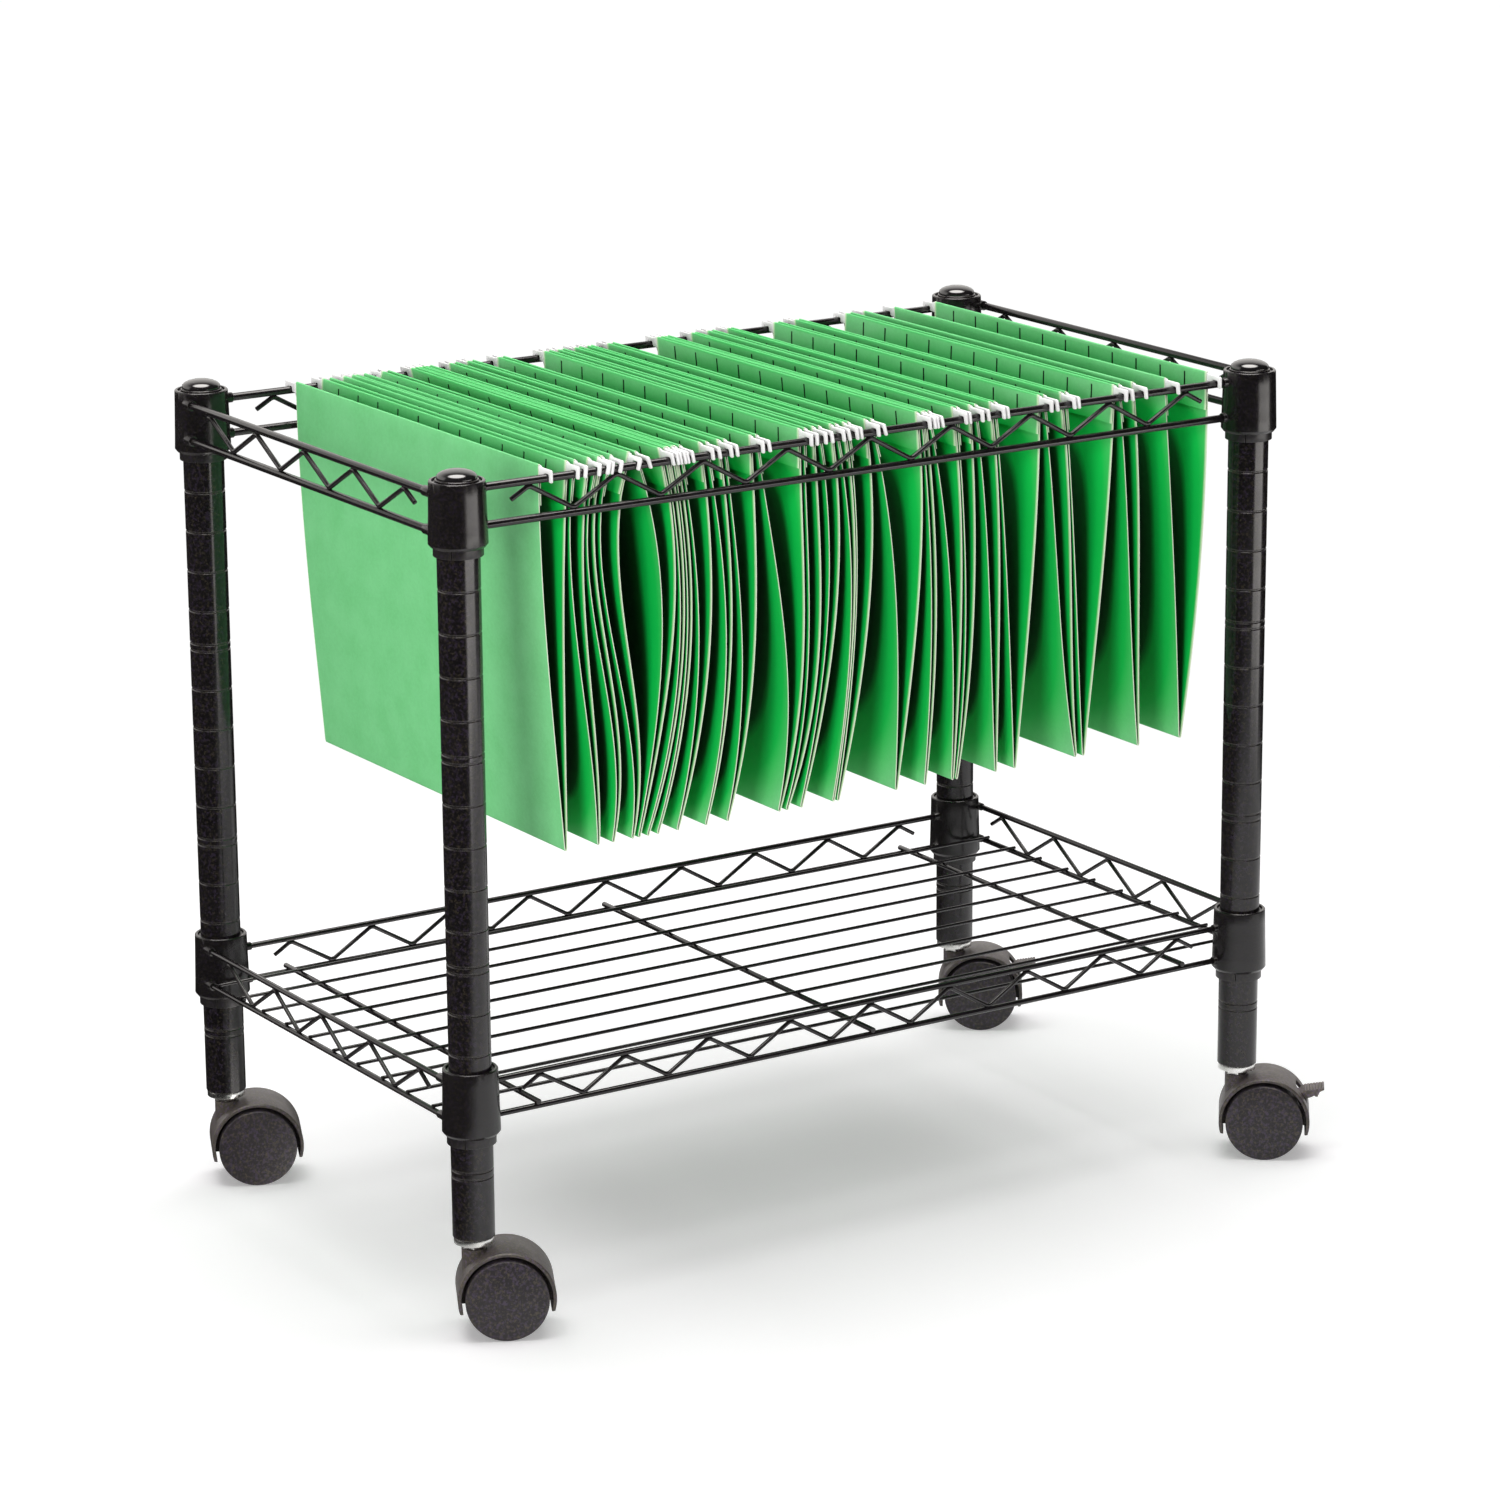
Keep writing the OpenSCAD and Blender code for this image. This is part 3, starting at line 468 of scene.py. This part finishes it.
def card_path(folder):
    """Centre line of the card in XZ, from the left flap's lower edge to the right's."""
    left, right = sheets(folder)
    half = CARD / 2
    radius = (HEM - CARD) / 2 - 0.01
    roll_z = TOP - half - radius

    def hem_roll(centre):
        angles = [math.pi * i / HEM_SEGMENTS for i in range(HEM_SEGMENTS + 1)]
        return [(centre + radius * math.cos(a), roll_z + radius * math.sin(a)) for a in angles]

    flap = [TOP - depth for depth in FLAP_DEPTHS]
    down = [TOP - depth for depth in HEAD_DEPTHS]
    head = HEAD_DEPTHS[-1]
    length = TOP - head - LOW - FOLD_HEIGHT
    down += [TOP - head - length * i / SHEET_STEPS for i in range(1, SHEET_STEPS + 1)]

    points = [(sheet_x(left, z) + HEM - half, z) for z in flap]
    points += hem_roll(sheet_x(left, roll_z) + HEM / 2)
    points += [(sheet_x(left, z) + half, z) for z in down]

    fold_z = LOW + FOLD_HEIGHT
    fold_left = sheet_x(left, fold_z) + half
    fold_right = sheet_x(right, fold_z) - half
    centre, reach = (fold_left + fold_right) / 2, (fold_right - fold_left) / 2
    for i in range(1, FOLD_SEGMENTS):
        sine = math.sin(math.pi * i / FOLD_SEGMENTS)
        cosine = math.cos(math.pi * i / FOLD_SEGMENTS)
        points.append((centre - reach * cosine * (1 - 0.25 * sine),
                       fold_z - (FOLD_HEIGHT - half) * sine))

    points += [(sheet_x(right, z) - half, z) for z in reversed(down)]
    points += hem_roll(sheet_x(right, roll_z) - HEM / 2)
    for z in reversed(flap):
        curl = max(0.0, (TOP - FLARE_START - z) / (HEM_DEPTH - FLARE_START))
        points.append((sheet_x(right, z) - HEM + half - FLARE * curl ** 2, z))
    return points


def offset_line(points, distance):
    """Shift a line to the left of its direction of travel."""
    shifted = []
    for i, (x, z) in enumerate(points):
        x0, z0 = points[max(i - 1, 0)]
        x1, z1 = points[min(i + 1, len(points) - 1)]
        run, rise = x1 - x0, z1 - z0
        length = math.hypot(run, rise)
        shifted.append((x - rise / length * distance, z + run / length * distance))
    return shifted


# y of the slits, and of the columns of points along a card
SLITS = [(i - SLIT_COUNT // 2) * SLIT_PITCH for i in range(SLIT_COUNT)]
COLUMNS = sorted(
    [sign * y for sign in (-1, 1) for y in (HALF_SHEET, HALF_SHEET - 1.2, 139)]
    + [y + sign * SLIT_WIDTH / 2 for y in SLITS for sign in (-1, 1)]
    + [(y0 + y1) / 2 for y0, y1 in zip(SLITS, SLITS[1:])])
LEFT, EDGE, SLIT, RIGHT = range(4)  # material slots of a card


def card_faces(points, in_flap):
    """Faces and material slots of a card; the second offset line follows the first."""
    rows, columns = len(points), len(COLUMNS)
    other = rows * columns

    def in_slit(i, j):
        z = (points[i][1] + points[i + 1][1]) / 2
        y = (COLUMNS[j] + COLUMNS[j + 1]) / 2
        return (in_flap[i] and in_flap[i + 1] and TOP - SLIT_LOW < z < TOP - SLIT_TOP
                and any(abs(y - slit) < 0.3 for slit in SLITS))

    cells = [(i, j) for i in range(rows - 1) for j in range(columns - 1) if not in_slit(i, j)]
    solid = set(cells)
    faces, slots = [], []
    for i, j in cells:
        a0 = j * rows + i
        a1, b0, b1 = a0 + 1, a0 + rows, a0 + rows + 1
        faces += [(a0, a1, b1, b0), (other + a0, other + b0, other + b1, other + a1)]
        slots += [LEFT if i < rows // 2 else RIGHT] * 2
        rims = (
            # neighbouring cell, whether this cell is at the card's border, rim face
            ((i - 1, j), i == 0, (a0, b0, other + b0, other + a0)),
            ((i + 1, j), i == rows - 2, (a1, other + a1, other + b1, b1)),
            ((i, j - 1), j == 0, (a0, other + a0, other + a1, a1)),
            ((i, j + 1), j == columns - 2, (b0, b1, other + b1, other + b0)),
        )
        for neighbour, at_border, face in rims:
            if neighbour not in solid:
                faces.append(face)
                slots.append(EDGE if at_border else SLIT)
    return faces, slots


def facing_gap(k, z, left, inner):
    """Distance from a face of folder k to the sheet facing it at height z."""
    def ends(number):
        return [sheet_x(sheet, z) for sheet in sheets(FOLDERS[number])]

    left_x, right_x = ends(k)
    gap = OPEN_GAP
    if inner:
        gap = right_x - left_x - 2 * CARD
    elif left and k > 0:
        gap = left_x - ends(k - 1)[1]
    elif not left and k < len(FOLDERS) - 1:
        gap = ends(k + 1)[0] - right_x
    return max(gap, LEAST_GAP)


def open_share(height, gap):
    return 0.5 * (1 - max(height, 0) / math.hypot(height, gap))


def store_room(mesh, k, points, in_flap):
    """Store the room in front of each point, which the card's painted shade reads."""
    gaps, updown = [], []
    for inside in (True, False):
        line_gaps, line_updown = [], []
        for i, (_, z) in enumerate(points):
            inner = inside or in_flap[i]
            gap = facing_gap(k, z, i < len(points) // 2, inner)
            below = 0.0 if inner else open_share(z - LOW, gap)
            line_gaps.append(gap * MM)
            line_updown.append(open_share(TOP - z, gap) + below)
        gaps += line_gaps * len(COLUMNS)
        updown += line_updown * len(COLUMNS)
    for label, values in (("gap", gaps), ("updown", updown)):
        mesh.attributes.new(label, "FLOAT", "POINT").data.foreach_set("value", values)


def make_card(k):
    points = card_path(FOLDERS[k])
    flap = len(FLAP_DEPTHS)
    in_flap = [i < flap or i >= len(points) - flap for i in range(len(points))]
    draw = random.Random(100 + k)
    # four phases are drawn, of which the ripples use two
    phases = [draw.uniform(0, 6.28) for _ in range(4)]
    sway = draw.uniform(0.08, 0.2)

    def ripple(y, z):
        t = fallen(z)
        middle = math.sin(math.pi * min(max(t, 0), 1))
        broad = middle * sway * math.sin(phases[0] + y / 62.0)
        return broad + middle ** 2 * 0.12 * math.sin(phases[1] + y / 31.0 + t * 4)

    # the pocket's inner face first, then the outer
    verts = [((x + ripple(y, z)) * MM, y * MM, z * MM)
             for side in (1, -1)
             for line in [offset_line(points, side * CARD / 2)]
             for y in COLUMNS
             for x, z in line]
    faces, slots = card_faces(points, in_flap)
    mesh = new_mesh("card_%02d" % (k + 1), verts, faces)
    for material in (CARD_LEFT, CUT_EDGE, SLIT_SHADE, CARD_RIGHT):
        mesh.materials.append(material)
    mesh.polygons.foreach_set("material_index", slots)
    mesh.polygons.foreach_set("use_smooth", [slot in (LEFT, RIGHT) for slot in slots])
    mesh.update()
    store_room(mesh, k, points, in_flap)
    made = add_object("folder_card_%02d" % (k + 1), mesh)
    split_edges(made, angle=40)
    return made


# ------------------------------------------------------------------ bars and hooks (mm)

def arc(y, z, radius, start, end, segments=4):
    angles = [math.radians(start + (end - start) * i / segments) for i in range(segments + 1)]
    return [(y + radius * math.cos(a), z + radius * math.sin(a)) for a in angles]


BAR_THICKNESS, HOOK_THICKNESS = 0.7, 1.2
# outlines as (y, z), z measured from TOP; the hook is the one at the front end
BAR = [
    (-HALF_SHEET - 2, -2.8), (HALF_SHEET + 2, -2.8), (HALF_SHEET + 2, -6.4),
    (HALF_SHEET - 1, -14.8), (1 - HALF_SHEET, -14.8), (-HALF_SHEET - 2, -6.4),
]
HOOK = [
    (-HALF_SHEET - 0.2, -0.6), (-HALF_SHEET - 1.7, -0.6),
    (-HALF_SHEET - 2.1, -0.9), (-HALF_SHEET - 2.3, -1.35),
    *arc(-HALF_DEPTH - 2.0, -2.7, 1.35, 90, 180),
    (-HALF_DEPTH - 3.35, -7.6),
    *arc(-HALF_DEPTH - 2.5, -8.0, 0.85, 180, 270),
    *arc(-HALF_DEPTH - 1.15, -8.0, 0.8, 270, 360),
    (-HALF_DEPTH - 0.35, -5.2),
    *arc(-HALF_DEPTH + 0.65, -5.1, 1.0, 180, 90),
    (-HALF_DEPTH + 4.3, -4.1),
    *arc(-HALF_DEPTH + 4.5, -4.9, 0.8, 90, 0),
    (-HALF_DEPTH + 5.5, -6.5), (-HALF_DEPTH + 6.1, -7.2), (-HALF_SHEET - 0.2, -7.4),
]
REAR_HOOK = [(-y, z) for y, z in HOOK]


def make_plates(name, plates, thickness, material, bevel):
    """One object from flat plates, each an outline in YZ and its placement."""
    verts, faces = [], []
    for outline, placement in plates:
        start, count = len(verts), len(outline)
        for x in (-thickness / 2, thickness / 2):
            verts += [tuple(placement @ Vector((x * MM, y * MM, z * MM))) for y, z in outline]
        faces.append(tuple(range(start, start + count)))
        faces.append(tuple(range(start + 2 * count - 1, start + count - 1, -1)))
        for i in range(count):
            a, b = start + i, start + (i + 1) % count
            faces.append((a, a + count, b + count, b))
    mesh = new_mesh(name, verts, faces)
    mesh.materials.append(material)
    mesh.polygons.foreach_set("use_smooth", [True] * len(mesh.polygons))
    mesh.update()
    work = bmesh.new()
    work.from_mesh(mesh)
    bmesh.ops.recalc_face_normals(work, faces=work.faces)
    work.to_mesh(mesh)
    work.free()
    made = add_object(name, mesh)
    bevel_edges(made, bevel, angle=40)
    split_edges(made, angle=40)
    return made


for k, folder in enumerate(FOLDERS):
    folder_node = "folder_%02d" % (k + 1)
    folder_card = make_card(k)
    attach(folder_card, folder_node)
    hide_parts(folder_node)
    bars, hooks = [], []
    for bar_x, sheet in zip(folder, sheets(folder)):
        placement = (Matrix.Translation(((bar_x - HALF_WIDTH) * MM, 0, TOP * MM))
                     @ Matrix.Rotation(-hem_lean(sheet), 4, "Y"))
        bars.append((BAR, placement))
        hooks += [(HOOK, placement), (REAR_HOOK, placement)]
    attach(make_plates("hanger_bars_%02d" % (k + 1), bars, BAR_THICKNESS, STEEL,
                        bevel=0.00012), folder_node)
    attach(make_plates("bar_hooks_%02d" % (k + 1), hooks, HOOK_THICKNESS, HOOK_COAT,
                        bevel=0.00025), folder_node)


# ------------------------------------------------------------------ floor

FLOOR_HALF = 14.0
FLOOR_LIFT = 0.31   # glow added near the rack
WHITE = (1, 1, 1)
WHITE_OUT = 1.02    # strength of the plain white beyond it


def emission(tree, strength):
    return node(tree, "Emission", {0: WHITE, 1: strength})


def beyond(tree, near, far, centre):
    """0 within the near radius of centre, 1 past the far one."""
    position = node(tree, "NewGeometry", {}, "Position")
    distance = vector_calc(tree, "DISTANCE", position, centre, "Value")
    return remap(tree, distance, to=(0.0, 1.0), span=(near, far))


def floor_material():
    material, tree = new_material("floor_pale")
    patches = remap(tree, noise(tree, object_coords(tree), scale=3), to=(0, 1))
    matt = node(tree, "BsdfPrincipled", {
        "Base Color": blend(tree, patches, (0.87, 0.87, 0.87), (0.89, 0.89, 0.89)),
        "Roughness": 0.9,
        "Specular IOR Level": 0.1})
    # lifted near the rack and burning out to white further off
    lifted = node(tree, "AddShader", {0: matt, 1: emission(tree, FLOOR_LIFT)})
    burnt = beyond(tree, near=0.62, far=1.15, centre=(0.02, -0.05, 0.0))
    shown = blend_shaders(tree, burnt, lifted, emission(tree, WHITE_OUT))
    # seen in reflections the floor ends a short way from the rack
    rays = tree.nodes.new("ShaderNodeLightPath").outputs
    ended = beyond(tree, near=0.72, far=1.0, centre=(0.40, -0.60, 0.0))
    ended = calc(tree, "MULTIPLY", rays["Is Glossy Ray"], ended)
    shown = blend_shaders(tree, ended, shown, node(tree, "BsdfTransparent", {}))
    # for bounced light it stays a plain matt one
    shown = blend_shaders(tree, rays["Is Diffuse Ray"], shown, matt)
    finish(tree, "Material", shown)
    return material


corners = [(x * FLOOR_HALF, y * FLOOR_HALF, 0) for x, y in ((-1, -1), (1, -1), (1, 1), (-1, 1))]
floor = add_object("floor", new_mesh("floor", corners, [(0, 1, 2, 3)]))
floor.data.materials.append(floor_material())


# ------------------------------------------------------------------ world

SKY = 0.30               # fill light
ROOM = 0.015             # base level of the reflected room
OPENING = 4.2            # tall bright opening to the front right, in reflections
OPENING_AZIMUTH, OPENING_HALF = 31.0, 27.0  # degrees, from -Y towards +X
BACKDROP = 1.2           # reflected brightness at the rear
OVERHEAD = 9.0           # reflected brightness straight above
UNDER = 0.40             # reflected brightness from below


def reflected_room(tree):
    """Brightness by direction for reflections."""
    ray = node(tree, "TexCoord", {}, "Generated")
    level = vector_calc(tree, "NORMALIZE", vector_calc(tree, "MULTIPLY", ray, (1, 1, 0)))
    azimuth = math.radians(OPENING_AZIMUTH)
    towards = vector_calc(tree, "DOT_PRODUCT", level,
                          (math.sin(azimuth), -math.cos(azimuth), 0.0), "Value")
    edges = [math.cos(math.radians(OPENING_HALF + soft)) for soft in (2, -3)]
    opening = remap(tree, towards, to=(0.0, OPENING), span=edges)
    xyz = separate(tree, ray)

    def by_height(to, span):
        return remap(tree, xyz["Z"], to=to, span=span)

    low = by_height(to=(1.0, 0.0), span=(-0.16, -0.06))
    under = by_height(to=(UNDER, 0.0), span=(-0.80, -0.50))
    heights = calc(tree, "MULTIPLY", by_height(to=(0.0, 1.0), span=(-0.04, 0.06)),
                   by_height(to=(1.0, 0.0), span=(0.55, 0.85)))
    rear = remap(tree, xyz["Y"], to=(0.0, 1.0), span=(0.10, 0.32))
    behind = calc(tree, "MULTIPLY", rear, heights)
    above = by_height(to=(0.0, OVERHEAD), span=(0.87, 0.93))
    room = calc(tree, "MAXIMUM", calc(tree, "MULTIPLY", opening, low), under)
    room = calc(tree, "MAXIMUM", room, calc(tree, "MULTIPLY", behind, BACKDROP))
    room = calc(tree, "MAXIMUM", room, above)
    return calc(tree, "ADD", room, ROOM)


def background(tree, colour, strength):
    return node(tree, "Background", {0: colour, 1: strength})


def build_world():
    """White to the camera, soft sky for the fill, and a dark room in reflections."""
    world = bpy.data.worlds.new("studio")
    bpy.context.scene.world = world
    world.use_nodes = True
    tree = world.node_tree
    tree.nodes.clear()
    seen = background(tree, WHITE, WHITE_OUT)
    sky = background(tree, (1.0, 0.95, 0.975), SKY)
    room = background(tree, (1.0, 0.965, 0.93), reflected_room(tree))
    rays = tree.nodes.new("ShaderNodeLightPath").outputs
    light = blend_shaders(tree, rays["Is Glossy Ray"], sky, room)
    finish(tree, "World", blend_shaders(tree, rays["Is Camera Ray"], light, seen))
    world.cycles.sampling_method = "NONE"


build_world()


# ------------------------------------------------------------------ lights

def area_light(name, place, target, size, power, colour=WHITE):
    """Rectangular light aimed at target and hidden from reflections."""
    light = bpy.data.lights.new(name, "AREA")
    light.shape = "RECTANGLE"
    light.size, light.size_y = size
    light.energy = power
    light.color = colour
    made = add_object(name, light)
    made.location = place
    made.rotation_mode = "QUATERNION"
    aim = Vector(target) - Vector(place)
    made.rotation_quaternion = aim.to_track_quat("-Z", "Y")
    made.visible_glossy = False
    return made


area_light("key_overhead", place=(0.02, 0.12, 2.3), target=(0, 0, 0.3), size=(2.2, 1.8),
           power=52.0)
side_box = area_light("side_box", place=(-2.10, -1.50, 0.95), target=(0.0, 0, 0.38),
                      size=(0.9, 0.9), power=46.0, colour=(1.0, 0.995, 0.98))
# the side box is flagged off the floor
no_floor = bpy.data.collections.new("no_floor")
no_floor.objects.link(floor)
side_box.light_linking.receiver_collection = no_floor
for item in no_floor.collection_objects:
    item.light_linking.link_state = "EXCLUDE"


# ------------------------------------------------------------------ camera and view

CAMERA_PLACE = (-1687.9, -2658.05, 1139.5)              # mm
AZIMUTH, ELEVATION, ROLL = -32.630, 15.296, -0.431      # degrees
FOCAL_LENGTH = 123.2184                                 # mm, on a 36 mm sensor


def add_camera():
    lens = bpy.data.cameras.new("camera")
    lens.sensor_width = 36.0
    lens.sensor_fit = "HORIZONTAL"
    lens.lens = FOCAL_LENGTH
    lens.clip_start, lens.clip_end = 0.1, 60
    camera = add_object("camera", lens)
    azimuth, elevation, roll = map(math.radians, (AZIMUTH, ELEVATION, ROLL))
    back = Vector((math.sin(azimuth) * math.cos(elevation),
                   -math.cos(azimuth) * math.cos(elevation), math.sin(elevation)))
    forward = -back
    right = forward.cross(Vector((0, 0, 1))).normalized()
    up = right.cross(forward)
    rolled_right = right * math.cos(roll) + up * math.sin(roll)
    rolled_up = -right * math.sin(roll) + up * math.cos(roll)
    pose = Matrix((rolled_right, rolled_up, back)).transposed().to_4x4()
    pose.translation = Vector(CAMERA_PLACE) * MM
    camera.matrix_world = pose
    bpy.context.scene.camera = camera


add_camera()

view = bpy.context.scene.view_settings
view.view_transform = "Standard"
view.look = "None"
view.exposure = 0.0
view.gamma = 1.0
